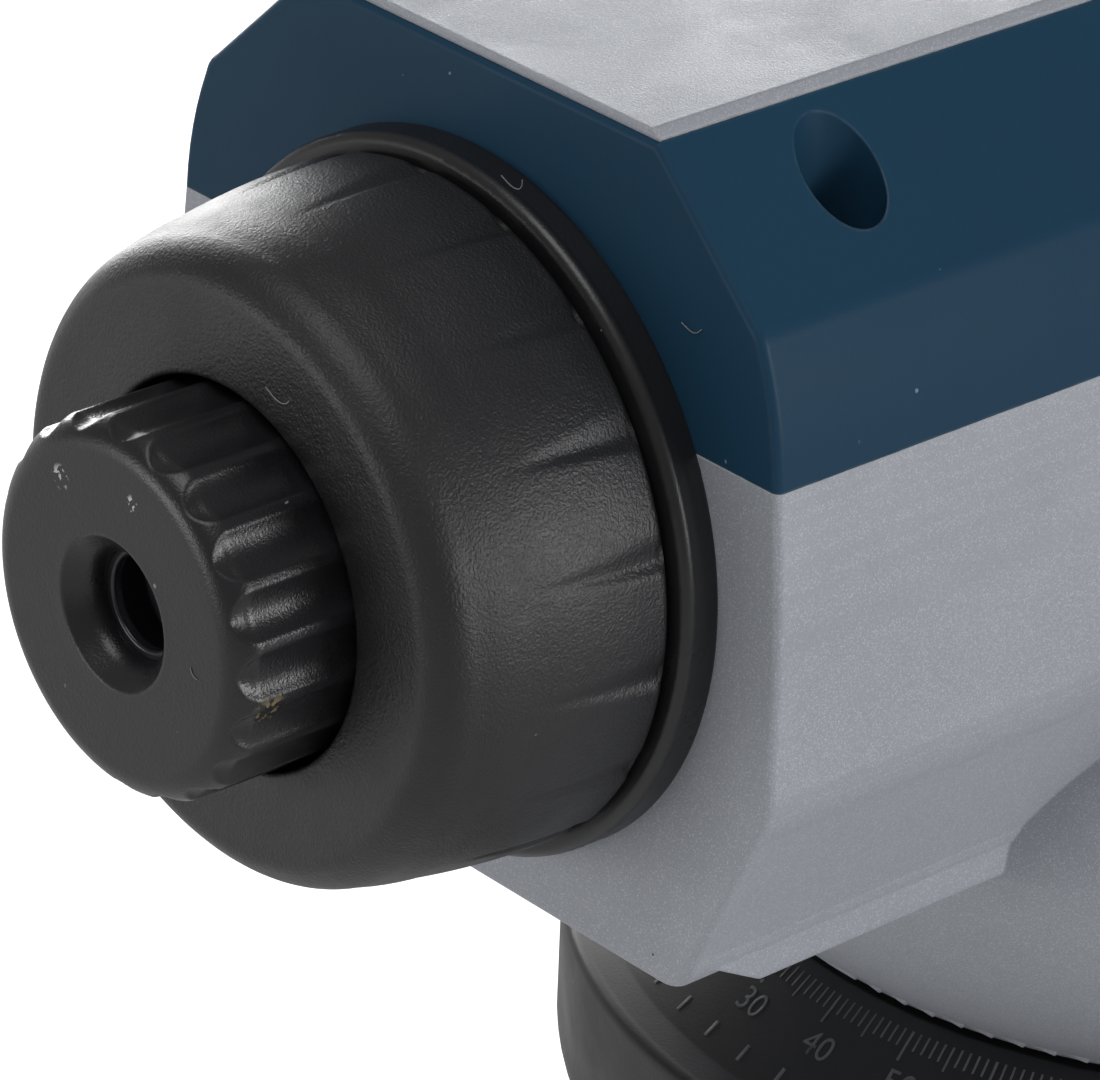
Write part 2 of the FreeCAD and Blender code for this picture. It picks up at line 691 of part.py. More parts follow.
def suspensionWires():
    wires = []
    for side in (1, -1):
        for lean in (1, -1):
            top = Vector(side * 12, swingLine + lean * 10.9, axisHeight + 18.5)
            foot = Vector(side * 12, swingLine + lean * 5.6, axisHeight + 12.15)
            along = foot.sub(top)
            wires.append(Part.makeCylinder(0.15, along.Length, top, along))
    return Part.makeCompound(wires)


def pendulum():
    cheeks = []
    for side in (1, -1):
        cheeks.append(block((side * 12 - 1, swingLine - 6, axisHeight - 16), (side * 12 + 1, swingLine + 6,
                                                                            axisHeight + 12)))
    floor = block((-13, swingLine - 6, axisHeight - 16), (13, swingLine + 6, axisHeight - 13.8))
    window = cylinder(3.2, 40, (-20, swingLine, axisHeight + 2), (1, 0, 0))
    bob = cylinder(3.8, 4.4, (0, swingLine, axisHeight - 20.2))
    return union(cheeks + [floor, bob]).cut(window)


def pendulumPrism():
    low = axisHeight - 13.8
    points = [(swingLine - 5.8, low), (swingLine + 5.8, low), (swingLine, low + 5.8)]
    return sidePrism(points, 7.5)


def fixedPrism(lean):
    y = swingLine + lean * 12.5
    low = axisHeight - 9.5
    return sidePrism([(y - lean * 1.4, low), (y + lean * 1.4, low), (y + lean * 5.5, low + 15),
                      (y - lean * 5.0, low + 15), (y - lean * 5.0, low + 10)], 7.5)


def fixedPrisms():
    return Part.makeCompound([fixedPrism(1), fixedPrism(-1)])


def damperCup():
    cup = cylinder(5.2, 6.0, (0, swingLine, axisHeight - 24.3))
    return cup.cut(cylinder(4.3, 5.2, (0, swingLine, axisHeight - 23.5)))


def checkButton():
    pin = cylinder(2.5, 12.5, (-36.5, swingLine, axisHeight - 2), (1, 0, 0))
    return pin.fuse(ring(3.4, 2.5, 1.0, (-28.2, swingLine, axisHeight - 2), (1, 0, 0))).removeSplitter()


def tapLeaf():
    return block((-21.9, swingLine - 13, axisHeight - 4), (-21.2, swingLine + 3, axisHeight - 0.2))


# ---- reticle and eyepiece ----

def reticleMount():
    mount = ring(21.5, 19.6, 5.0, (0, rearFace + 3, axisHeight), (0, 1, 0))
    return mount


def reticleHolder():
    holder = ring(16, 8.0, 4.2, (0, rearFace + 3.4, axisHeight), (0, 1, 0))
    return holder.cut(cylinder(9.0, 1.6, (0, rearFace + 6.1, axisHeight), (0, 1, 0)))


def reticleGlass():
    return cylinder(8.95, 1.4, (0, rearFace + 6.15, axisHeight), (0, 1, 0))


def reticleScrews():
    screws = []
    for degrees in (45, 135, 225, 315):
        angle = math.radians(degrees)
        base = (16.05 * math.cos(angle), rearFace + 5.5, axisHeight + 16.05 * math.sin(angle))
        screws.append(cylinder(1.3, 3.45, base, (math.cos(angle), 0, math.sin(angle))))
    return Part.makeCompound(screws)


def eyepieceFlange():
    y = rearFace
    return turnedAlong((11.0, y), [(flangeRadius, y), (flangeRadius - 0.05, y - 1.8),
                                   ((25.85, y - 2.45), (25.3, y - flangeThickness)), (23.6, y - flangeThickness),
                                   (23.6, y - 5.0), (22.4, y - 5.0), (22.4, y - 2.4), (11.0, y - 2.4)])


def eyepieceCover():
    y = rearFace
    front = y - coverLength
    shell = turnedAlong((23.65, y - 3.15), [(24.2, y - 3.15), ((coverRearRadius - 0.1, y - 3.3),
                                                            (coverRearRadius, y - 3.9)),
                                            ((24.15, y - 9.0), (23.35, y - 14.5)),
                                            ((22.9, y - 17.6), (coverFrontRadius + 0.7, front + 1.6)),
                                            ((coverFrontRadius + 0.1, front + 0.55), (coverFrontRadius - 0.8, front + 0.1)),
                                            (coverFrontRadius - 1.6, front), (coverHole + 0.3, front),
                                            (coverHole, front + 0.4), (coverHole, front + 2.4),
                                            (19.4, front + 2.4), (20.8, y - 15), (22.35, y - 5.3), (23.65, y - 5.3)])
    grooves = []
    for index in range(coverGrips):
        angle = math.radians(14 + 360.0 / coverGrips * index)
        start = Vector((coverRearRadius + 2.3) * math.cos(angle), y - 2.0,
                       axisHeight + (coverRearRadius + 2.3) * math.sin(angle))
        end = Vector((coverRearRadius + 1.66) * math.cos(angle), y - 16.0,
                     axisHeight + (coverRearRadius + 1.66) * math.sin(angle))
        along = end.sub(start)
        grooves.append(Part.makeCylinder(3.0, along.Length, start, along))
    return shell.cut(Part.makeCompound(grooves))


def diopterRing():
    face = rearFace - diopterFace
    body = turnedAlong((eyeHoleRadius, face + 1.5), [(eyeRecessRadius, face), (diopterRadius - 0.5, face),
                                                   ((diopterRadius - 0.12, face + 0.12), (diopterRadius, face + 0.5)),
                                                   (diopterRadius, face + 13), (11.05, face + 13),
                                                   (11.05, face + 5.9), (9.7, face + 5.9), (9.7, face + 2.8),
                                                   (eyeHoleRadius, face + 2.8)])
    reach = diopterRadius + 1.4
    flute = cylinder(1.9, 12, (reach, face + 4.3, axisHeight), (0, 1, 0))
    flute = flute.fuse(Part.makeSphere(1.9, Vector(reach, face + 4.3, axisHeight)))
    return body.cut(Part.makeCompound(aboutAxis(flute, diopterFlutes)))


def diopterLock():
    return ring(11.03, 8.5, 0.8, (0, rearFace - diopterFace + 5.95, axisHeight), (0, 1, 0))


def eyepieceSleeve():
    return ring(10.95, 8.45, 23.0, (0, rearFace - 20.6, axisHeight), (0, 1, 0))


def eyepieceBarrel():
    face = rearFace - diopterFace
    return turnedAlong((7.4, face + 5.1), [(5.4, face + 5.1), (5.4, face + 2.9), (9.6, face + 2.9),
                                           (9.6, face + 5.85), (8.4, face + 5.85), (8.4, face + 26), (7.4, face + 26)])


def eyeLens():
    face = rearFace - diopterFace
    return lens(7.35, face + 5.3, face + 7.2, 0.15, 1.0)


def lensSpacer():
    return ring(7.35, 6.6, 6.4, (0, rearFace - diopterFace + 8.3, axisHeight), (0, 1, 0))


def fieldLens():
    face = rearFace - diopterFace
    return lens(7.35, face + 15.8, face + 18.2, 0.9, 0.6)


def eyepieceLock():
    return ring(7.35, 5.6, 1.6, (0, rearFace - diopterFace + 19.0, axisHeight), (0, 1, 0))


# ---- circular level and its mirror ----

def levelHolder():
    x, y = levelSpot
    cup = cylinder(9.5, 7.5, (x, y, levelBase + 1.8))
    return cup.cut(cylinder(8.0, 6.0, (x, y, levelBase + 3.3)))


def levelVial():
    x, y = levelSpot
    vial = cylinder(7.95, 6.4, (x, y, levelBase + 3.3))
    vial = vial.cut(cylinder(6.6, 4.2, (x, y, levelBase + 4.0)))
    rim = [edge for edge in vial.Edges if edge.Closed and edge.CenterOfMass.z > levelBase + 9.6]
    return vial.makeFillet(0.8, rim)


def levelLiquid():
    x, y = levelSpot
    return cylinder(6.55, 4.1, (x, y, levelBase + 4.05))


def levelScrews():
    x, y = levelSpot
    screws = []
    for angle in (90, 210, 330):
        a, b, c = circlePoint(6.5, angle, levelBase - 4)
        screws.append(cylinder(1.2, 5.8, (x + a, y + b, c)))
    return Part.makeCompound(screws)


def mirrorBracket():
    x, y = levelSpot
    cheeks = []
    for side in (1, -1):
        cheeks.append(block((x + side * 6.2 - 0.8, y + 11.8, levelBase), (x + side * 6.2 + 0.8, y + 15, levelBase + 11.6)))
    foot = block((x - 7, y + 11.8, levelBase), (x + 7, y + 15, levelBase + 1.6))
    hole = cylinder(0.8, 16, (x - 8, y + 13.4, levelBase + 10.4), (1, 0, 0))
    return union(cheeks + [foot]).cut(hole)


def mirrorPin():
    x, y = levelSpot
    return cylinder(0.78, 14.0, (x - 7, y + 13.4, levelBase + 10.4), (1, 0, 0))


def mirrorPlate(halfWidth, low, high, near, far):
    """Plate leaning 45 degrees back over the vial, in its own flat frame before it is leant."""
    x, y = levelSpot
    plate = block((x - halfWidth, y + 13.4 + low, levelBase + 10.4 + near),
                  (x + halfWidth, y + 13.4 + high, levelBase + 10.4 + far))
    plate.rotate(Vector(x, y + 13.4, levelBase + 10.4), Vector(1, 0, 0), 45)
    return plate


def mirrorFrame():
    x, y = levelSpot
    plate = mirrorPlate(8.6, -1.3, 1.3, 2.9, 18.5)
    knuckle = cylinder(1.6, 10.4, (x - 5.2, y + 13.4, levelBase + 10.4), (1, 0, 0))
    neck = mirrorPlate(5.2, -1.0, 1.0, 0.9, 3.2)
    recess = mirrorPlate(7.6, -1.4, -0.3, 3.2, 17.5)
    frame = union([plate, knuckle, neck]).cut(recess)
    return frame.cut(cylinder(0.84, 12, (x - 6, y + 13.4, levelBase + 10.4), (1, 0, 0)))


def mirrorGlass():
    return mirrorPlate(7.5, -1.25, -0.3, 3.3, 17.4)


def grouped(shapes):
    solids = []
    for shape in shapes:
        solids += shape.Solids
    return Part.makeCompound(solids)


def everyPiece():
    pieces = {
        # base
        "base_plate": basePlate(),
        "spring_plate": springPlate(),
        "spring_plate_screws": springScrews(),
        "cradle_shoes": cradleShoes(),
        "foot_keepers": knobKeepers(),
        "tribrach_body": tribrach(),
        # vertical axis
        "spindle": spindle(),
        "axis_fastenings": grouped([spindleScrews(), axisKeeper(), axisScrew()]),
        "bearings": grouped([bearingSleeve(), wormBushes(), focusBush()]),
        "friction_springs": grouped([circleSpring(), clutchSpring()]),
        "horizontal_circle": horizontalCircle(),
        "worm_wheel": wormWheel(),
        "worm_shaft": wormShaft(),
        "drive_knobs": grouped([driveKnob(1), driveKnob(-1)]),
        # castings
        "upper_housing": upperHousing(),
        "lower_housing": lowerHousing(),
        "top_plate": topPlate(),
        "cover_screws": coverScrews(),
        "small_screws": grouped([compensatorScrews(), reticleScrews(), levelScrews()]),
        "sights": sights(),
        # telescope
        "nose_ring": noseRing(),
        "objective_tube": objectiveTube(),
        "objective_hood": objectiveHood(),
        "objective_lens": objectiveLens(),
        "objective_rings": grouped([objectiveLock(), objectiveSeat()]),
        "focus_tube": focusTube(),
        "tube_bracket": tubeBracket(),
        "focus_cell": grouped([focusCell(), focusLock()]),
        "focus_lens": focusLens(),
        "focus_shaft": grouped([focusShaft(), focusScrew()]),
        "focus_knob": focusKnob(),
        "focus_grip": focusGrip(),
        # compensator
        "compensator_frame": grouped([compensatorFrame(), damperCup()]),
        "compensator_springs": grouped([suspensionWires(), tapLeaf()]),
        "pendulum": pendulum(),
        "pendulum_prism": pendulumPrism(),
        "fixed_prisms": fixedPrisms(),
        "check_button": checkButton(),
        # reticle and eyepiece
        "reticle_holder": grouped([reticleMount(), reticleHolder()]),
        "reticle_glass": reticleGlass(),
        "eyepiece_flange": eyepieceFlange(),
        "eyepiece_cover": eyepieceCover(),
        "diopter_ring": grouped([diopterRing(), diopterLock()]),
        "eyepiece_sleeve": eyepieceSleeve(),
        "eyepiece_barrel": eyepieceBarrel(),
        "eye_lenses": grouped([eyeLens(), fieldLens()]),
        "eyepiece_rings": grouped([lensSpacer(), eyepieceLock()]),
        # circular level
        "level_holder": levelHolder(),
        "level_vial": levelVial(),
        "level_liquid": levelLiquid(),
        "mirror_bracket": grouped([mirrorBracket(), mirrorPin()]),
        "mirror_frame": mirrorFrame(),
        "mirror_glass": mirrorGlass(),
    }
    for key in footAngles:
        pieces["foot_stud_" + key] = footStud(key)
        pieces["foot_knob_" + key] = footKnob(key)
    return pieces


os.makedirs("parts", exist_ok=True)
for name, shape in everyPiece().items():
    shape.exportStep("parts/" + name + ".step")
    print(name, len(shape.Solids), shape.isValid(), round(shape.Volume, 1))
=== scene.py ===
import math
import bmesh
import bpy
from mathutils import Matrix, Vector


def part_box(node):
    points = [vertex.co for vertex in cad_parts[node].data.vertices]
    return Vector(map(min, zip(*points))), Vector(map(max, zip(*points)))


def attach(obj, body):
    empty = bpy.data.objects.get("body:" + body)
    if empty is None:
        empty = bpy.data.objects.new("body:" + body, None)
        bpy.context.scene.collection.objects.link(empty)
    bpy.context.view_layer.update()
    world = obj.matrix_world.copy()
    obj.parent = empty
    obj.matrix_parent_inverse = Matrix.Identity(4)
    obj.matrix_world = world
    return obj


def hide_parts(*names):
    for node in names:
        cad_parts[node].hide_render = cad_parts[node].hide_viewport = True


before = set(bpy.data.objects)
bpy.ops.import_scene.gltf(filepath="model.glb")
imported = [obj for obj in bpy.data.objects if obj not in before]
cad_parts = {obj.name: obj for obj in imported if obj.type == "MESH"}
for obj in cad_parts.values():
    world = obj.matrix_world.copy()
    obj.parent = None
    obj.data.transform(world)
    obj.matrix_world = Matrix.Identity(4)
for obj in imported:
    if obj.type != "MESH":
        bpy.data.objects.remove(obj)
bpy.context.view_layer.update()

print("frame loaded")

# telescope axis height and rear wall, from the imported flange
flangeLow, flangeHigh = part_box("eyepiece_flange")
axisZ = (flangeLow[2] + flangeHigh[2]) / 2
rearY = flangeHigh[1]


# shader groups shared by the finishes
def newGroup(name, inputs, outputs):
    # inputs are (label, socket kind, default), outputs are (label, socket kind)
    group = bpy.data.node_groups.new(name, "ShaderNodeTree")
    for label, kind, value in inputs:
        socket = group.interface.new_socket(label, in_out="INPUT", socket_type=kind)
        if value is not None:
            socket.default_value = value
    for label, kind in outputs:
        group.interface.new_socket(label, in_out="OUTPUT", socket_type=kind)
    inNode = group.nodes.new("NodeGroupInput")
    outNode = group.nodes.new("NodeGroupOutput")
    return group, inNode, outNode


def addNode(tree, kind, settings=None, values=None):
    node = tree.nodes.new(kind)
    for key, value in (settings or {}).items():
        setattr(node, key, value)
    for key, value in (values or {}).items():
        node.inputs[key].default_value = value
    return node


def mathNode(tree, operation, first, second=None, clamp=False):
    node = addNode(tree, "ShaderNodeMath", {"operation": operation, "use_clamp": clamp})
    for index, value in enumerate((first, second)):
        if value is None:
            continue
        if isinstance(value, (int, float)):
            node.inputs[index].default_value = value
        else:
            tree.links.new(value, node.inputs[index])
    return node.outputs[0]


def scaled(tree, value, low, high):
    # ramps a value so that low gives 0 and high gives 1
    node = addNode(tree, "ShaderNodeMapRange", {"clamp": True})
    tree.links.new(value, node.inputs["Value"])
    for key, edge in (("From Min", low), ("From Max", high)):
        if isinstance(edge, (int, float)):
            node.inputs[key].default_value = edge
        else:
            tree.links.new(edge, node.inputs[key])
    return node.outputs["Result"]


def makeEdgeWear():
    # a rounded normal differs from the true one only near an edge; there the mask paints paint rubbed off in patches,
    # and this lighter edge colour is also a painted edge highlight
    group, a, b = newGroup("edgeWearAndHighlight", [("Vector", "NodeSocketVector", None), ("Width", "NodeSocketFloat", 0.0004),
                                        ("Amount", "NodeSocketFloat", 0.5), ("Patch", "NodeSocketFloat", 250.0)],
                           [("Mask", "NodeSocketFloat"), ("Normal", "NodeSocketVector")])
    bevel = addNode(group, "ShaderNodeBevel", {"samples": 6})
    geometry = addNode(group, "ShaderNodeNewGeometry")
    dot = addNode(group, "ShaderNodeVectorMath", {"operation": "DOT_PRODUCT"})
    patch = addNode(group, "ShaderNodeTexNoise", values={"Detail": 4.0, "Roughness": 0.7})
    group.links.new(a.outputs["Width"], bevel.inputs["Radius"])
    group.links.new(bevel.outputs["Normal"], dot.inputs[0])
    group.links.new(geometry.outputs["Normal"], dot.inputs[1])
    group.links.new(a.outputs["Vector"], patch.inputs["Vector"])
    group.links.new(a.outputs["Patch"], patch.inputs["Scale"])
    edge = scaled(group, mathNode(group, "SUBTRACT", 1.0, dot.outputs["Value"]), 0.01, 0.14)
    worn = scaled(group, patch.outputs["Fac"], 0.35, 0.6)
    mask = mathNode(group, "MULTIPLY", mathNode(group, "MULTIPLY", edge, worn), a.outputs["Amount"], True)
    group.links.new(mask, b.inputs["Mask"])
    group.links.new(bevel.outputs["Normal"], b.inputs["Normal"])
    return group


def makeFineGrain():
    # moulded or sprayed surface: small rounded cells over slow waviness
    group, a, b = newGroup("fineGrain", [("Vector", "NodeSocketVector", None), ("Scale", "NodeSocketFloat", 2500.0),
                                         ("Waviness", "NodeSocketFloat", 0.3)],
                           [("Height", "NodeSocketFloat"), ("Tone", "NodeSocketFloat")])
    cells = addNode(group, "ShaderNodeTexNoise", values={"Detail": 2.5, "Roughness": 0.6})
    slow = addNode(group, "ShaderNodeTexNoise", values={"Detail": 2.0})
    group.links.new(a.outputs["Vector"], cells.inputs["Vector"])
    group.links.new(a.outputs["Scale"], cells.inputs["Scale"])
    group.links.new(a.outputs["Vector"], slow.inputs["Vector"])
    group.links.new(mathNode(group, "MULTIPLY", a.outputs["Scale"], 0.12), slow.inputs["Scale"])
    waves = mathNode(group, "MULTIPLY", slow.outputs["Fac"], a.outputs["Waviness"])
    group.links.new(mathNode(group, "ADD", cells.outputs["Fac"], waves), b.inputs["Height"])
    group.links.new(scaled(group, cells.outputs["Fac"], 0.32, 0.68), b.inputs["Tone"])
    return group


def makeMetalFlecks():
    # aluminium flecks in the silver paint, some brighter than others
    group, a, b = newGroup("metalFlecks", [("Vector", "NodeSocketVector", None), ("Scale", "NodeSocketFloat", 3500.0),
                                           ("Share", "NodeSocketFloat", 0.25)],
                           [("Mask", "NodeSocketFloat"), ("Tone", "NodeSocketFloat")])
    cells = addNode(group, "ShaderNodeTexVoronoi", {"feature": "F1"})
    group.links.new(a.outputs["Vector"], cells.inputs["Vector"])
    group.links.new(a.outputs["Scale"], cells.inputs["Scale"])
    split = addNode(group, "ShaderNodeSeparateColor")
    group.links.new(cells.outputs["Color"], split.inputs["Color"])
    lit = mathNode(group, "LESS_THAN", split.outputs[0], a.outputs["Share"])
    near = scaled(group, cells.outputs["Distance"], 0.55, 0.25)
    group.links.new(mathNode(group, "MULTIPLY", lit, near), b.inputs["Mask"])
    group.links.new(split.outputs[1], b.inputs["Tone"])
    return group


def makeDustSpecks():
    # a few bright motes of uneven shape
    group, a, b = newGroup("dustSpecks", [("Vector", "NodeSocketVector", None), ("Scale", "NodeSocketFloat", 350.0),
                                          ("Share", "NodeSocketFloat", 0.2), ("Size", "NodeSocketFloat", 0.05)],
                           [("Mask", "NodeSocketFloat")])
    motes = addNode(group, "ShaderNodeTexVoronoi", {"feature": "F1"})
    bend = addNode(group, "ShaderNodeTexNoise", values={"Scale": 900.0, "Detail": 2.0})
    group.links.new(a.outputs["Vector"], bend.inputs["Vector"])
    shift = addNode(group, "ShaderNodeVectorMath", {"operation": "MULTIPLY_ADD"})
    shift.inputs[1].default_value = (0.0006, 0.0006, 0.0006)
    group.links.new(bend.outputs["Color"], shift.inputs[0])
    group.links.new(a.outputs["Vector"], shift.inputs[2])
    group.links.new(shift.outputs[0], motes.inputs["Vector"])
    group.links.new(a.outputs["Scale"], motes.inputs["Scale"])
    split = addNode(group, "ShaderNodeSeparateColor")
    group.links.new(motes.outputs["Color"], split.inputs["Color"])
    kept = mathNode(group, "LESS_THAN", split.outputs[0], a.outputs["Share"])
    size = mathNode(group, "MULTIPLY", a.outputs["Size"], mathNode(group, "ADD", split.outputs[1], 0.35))
    spot = mathNode(group, "LESS_THAN", motes.outputs["Distance"], size)
    group.links.new(mathNode(group, "MULTIPLY", mathNode(group, "MULTIPLY", kept, spot),
                             mathNode(group, "ADD", split.outputs[2], 0.2), True), b.inputs["Mask"])
    return group


def makeHandling():
    # slow smears from hands, where the surface turns a little duller or darker
    group, a, b = newGroup("handlingMarks", [("Vector", "NodeSocketVector", None),
                                             ("Scale", "NodeSocketFloat", 60.0)], [("Mask", "NodeSocketFloat")])
    noise = addNode(group, "ShaderNodeTexNoise", values={"Detail": 5.0, "Roughness": 0.62, "Distortion": 0.4})
    group.links.new(a.outputs["Vector"], noise.inputs["Vector"])
    group.links.new(a.outputs["Scale"], noise.inputs["Scale"])
    group.links.new(scaled(group, noise.outputs["Fac"], 0.36, 0.66), b.inputs["Mask"])
    return group


def makeTurning():
    # fine lines left by the lathe, seen as bands across the piece
    group, a, b = newGroup("turningLines", [("Vector", "NodeSocketVector", None),
                                            ("Scale", "NodeSocketFloat", 3000.0)],
                           [("Height", "NodeSocketFloat")])
    noise = addNode(group, "ShaderNodeTexNoise", {"noise_dimensions": "1D"}, {"Detail": 3.0})
    split = addNode(group, "ShaderNodeSeparateXYZ")
    group.links.new(a.outputs["Vector"], split.inputs[0])
    group.links.new(mathNode(group, "ADD", split.outputs[1], split.outputs[2]), noise.inputs["W"])
    group.links.new(a.outputs["Scale"], noise.inputs["Scale"])
    group.links.new(noise.outputs["Fac"], b.inputs["Height"])
    return group


groups = {"edgeWearAndHighlight": makeEdgeWear(), "fineGrain": makeFineGrain(), "metalFlecks": makeMetalFlecks(),
          "dustSpecks": makeDustSpecks(), "handlingMarks": makeHandling(), "turningLines": makeTurning()}
print("shader groups ready")


def placeGroup(tree, name, vector, values):
    # one material's own copy of a shared effect
    node = tree.nodes.new("ShaderNodeGroup")
    node.node_tree = groups[name]
    tree.links.new(vector, node.inputs["Vector"])
    for key, value in values.items():
        node.inputs[key].default_value = value
    return node


def mixColour(tree, mask, under, over):
    node = addNode(tree, "ShaderNodeMix", {"data_type": "RGBA"})
    tree.links.new(mask, node.inputs[0])
    for socket, value in ((node.inputs[6], under), (node.inputs[7], over)):
        if isinstance(value, (tuple, list)):
            socket.default_value = (*value, 1.0)
        else:
            tree.links.new(value, socket)
    return node.outputs[2]


def mixValue(tree, mask, under, over):
    node = addNode(tree, "ShaderNodeMix", {"data_type": "FLOAT"})
    tree.links.new(mask, node.inputs[0])
    for socket, value in ((node.inputs[2], under), (node.inputs[3], over)):
        if isinstance(value, (int, float)):
            socket.default_value = value
        else:
            tree.links.new(value, socket)
    return node.outputs[0]


finishDefaults = {
    "colour": (0.4, 0.4, 0.4), "shade": None, "metallic": 0.0, "rough": 0.4, "roughSpread": 0.08,
    "grainScale": 2500.0, "grainDepth": 0.00001, "waviness": 0.3, "grainTone": 0.12,
    "fleckScale": 4000.0, "fleckShare": 0.0, "fleckColour": (0.8, 0.8, 0.8), "fleckStrength": 0.5,
    "wearColour": (0.5, 0.5, 0.5), "wearWidth": 0.00035, "wearAmount": 0.4,
    "dustShare": 0.06, "dustSize": 0.06, "dustScale": 420.0, "dustColour": (0.6, 0.6, 0.6),
    "smearScale": 70.0, "smearTone": 0.1, "coat": 0.0, "coatRough": 0.2, "specular": 0.5, "turning": 0.0,
    "chips": (),
}


def makeFinish(name, **given):
    v = dict(finishDefaults)
    v.update(given)
    material = bpy.data.materials.new(name)
    material.use_nodes = True
    tree = material.node_tree
    shader = tree.nodes["Principled BSDF"]
    place = addNode(tree, "ShaderNodeTexCoord").outputs["Object"]
    grain = placeGroup(tree, "fineGrain", place, {"Scale": v["grainScale"], "Waviness": v["waviness"]})
    smear = placeGroup(tree, "handlingMarks", place, {"Scale": v["smearScale"]})
    wear = placeGroup(tree, "edgeWearAndHighlight", place, {"Width": v["wearWidth"], "Amount": v["wearAmount"]})
    dust = placeGroup(tree, "dustSpecks", place, {"Scale": v["dustScale"], "Share": v["dustShare"],
                                                  "Size": v["dustSize"]})
    base = v["colour"]
    shade = v["shade"] or tuple(c * 0.8 for c in base)
    smearMask = mathNode(tree, "MULTIPLY", smear.outputs["Mask"], v["smearTone"] * 5, True)
    colour = mixColour(tree, smearMask, base, shade)
    dark = tuple(c * (1 - v["grainTone"] * 2) for c in base)
    toneMask = mathNode(tree, "MULTIPLY", grain.outputs["Tone"], 0.5)
    colour = mixColour(tree, toneMask, colour, dark)
    if v["fleckShare"] > 0:
        flecks = placeGroup(tree, "metalFlecks", place, {"Scale": v["fleckScale"], "Share": v["fleckShare"]})
        fleckMask = mathNode(tree, "MULTIPLY", flecks.outputs["Mask"],
                             mathNode(tree, "MULTIPLY", flecks.outputs["Tone"], v["fleckStrength"]), True)
        colour = mixColour(tree, fleckMask, colour, v["fleckColour"])
    # lighter colour along the edges: rubbed paint, and also a painted edge highlight
    colour = mixColour(tree, wear.outputs["Mask"], colour, v["wearColour"])
    colour = mixColour(tree, dust.outputs["Mask"], colour, v["dustColour"])
    for spot, reach, chipColour in v["chips"]:  # place in metres, radius, colour below the skin
        away = addNode(tree, "ShaderNodeVectorMath", {"operation": "DISTANCE"})
        away.inputs[1].default_value = spot
        tree.links.new(place, away.inputs[0])
        broken = addNode(tree, "ShaderNodeTexNoise", values={"Scale": 1900.0, "Detail": 3.0})
        tree.links.new(place, broken.inputs["Vector"])
        near = scaled(tree, away.outputs["Value"], reach, reach * 0.55)  # ragged towards its rim
        chip = mathNode(tree, "MULTIPLY", near, mathNode(tree, "GREATER_THAN", broken.outputs["Fac"], 0.56))
        colour = mixColour(tree, chip, colour, chipColour)
    tree.links.new(colour, shader.inputs["Base Color"])
    rough = mixValue(tree, smear.outputs["Mask"], max(v["rough"] - v["roughSpread"], 0.03),
                     min(v["rough"] + v["roughSpread"], 1.0))
    rough = mixValue(tree, dust.outputs["Mask"], rough, 0.9)
    tree.links.new(rough, shader.inputs["Roughness"])
    shader.inputs["Metallic"].default_value = v["metallic"]
    shader.inputs["Coat Weight"].default_value = v["coat"]
    shader.inputs["Coat Roughness"].default_value = v["coatRough"]
    shader.inputs["Specular IOR Level"].default_value = v["specular"]
    bump = addNode(tree, "ShaderNodeBump", values={"Strength": 1.0, "Distance": v["grainDepth"]})
    height = mathNode(tree, "ADD", grain.outputs["Height"], mathNode(tree, "MULTIPLY", dust.outputs["Mask"], 1.5))
    if v["turning"] > 0:
        lines = placeGroup(tree, "turningLines", place, {"Scale": 2600.0})
        height = mathNode(tree, "ADD", height, mathNode(tree, "MULTIPLY", lines.outputs["Height"], v["turning"]))
    tree.links.new(height, bump.inputs["Height"])
    tree.links.new(wear.outputs["Normal"], bump.inputs["Normal"])  # softens hard edges in the shading
    tree.links.new(bump.outputs["Normal"], shader.inputs["Normal"])
    return material


def makeGlass(name, colour, ior, sheenTint, clear=0.9):
    # clear glass with a faint dusting, so that it isn't perfectly clean
    material = bpy.data.materials.new(name)
    material.use_nodes = True
    tree = material.node_tree
    shader = tree.nodes["Principled BSDF"]
    place = addNode(tree, "ShaderNodeTexCoord").outputs["Object"]
    dust = placeGroup(tree, "dustSpecks", place, {"Scale": 700.0, "Share": 0.06, "Size": 0.08})
    smear = placeGroup(tree, "handlingMarks", place, {"Scale": 160.0})
    # towards a grazing view the colour turns to the tint: a painted coating reflection
    sheenFacing = addNode(tree, "ShaderNodeLayerWeight", values={"Blend": 0.35})
    shade = mixColour(tree, sheenFacing.outputs["Facing"], colour, sheenTint)
    tree.links.new(mixColour(tree, dust.outputs["Mask"], shade, (0.5, 0.5, 0.5)), shader.inputs["Base Color"])
    tree.links.new(mixValue(tree, smear.outputs["Mask"], 0.02, 0.07), shader.inputs["Roughness"])
    shader.inputs["IOR"].default_value = ior
    shader.inputs["Transmission Weight"].default_value = clear
    shader.inputs["Specular IOR Level"].default_value = 0.6
    return material


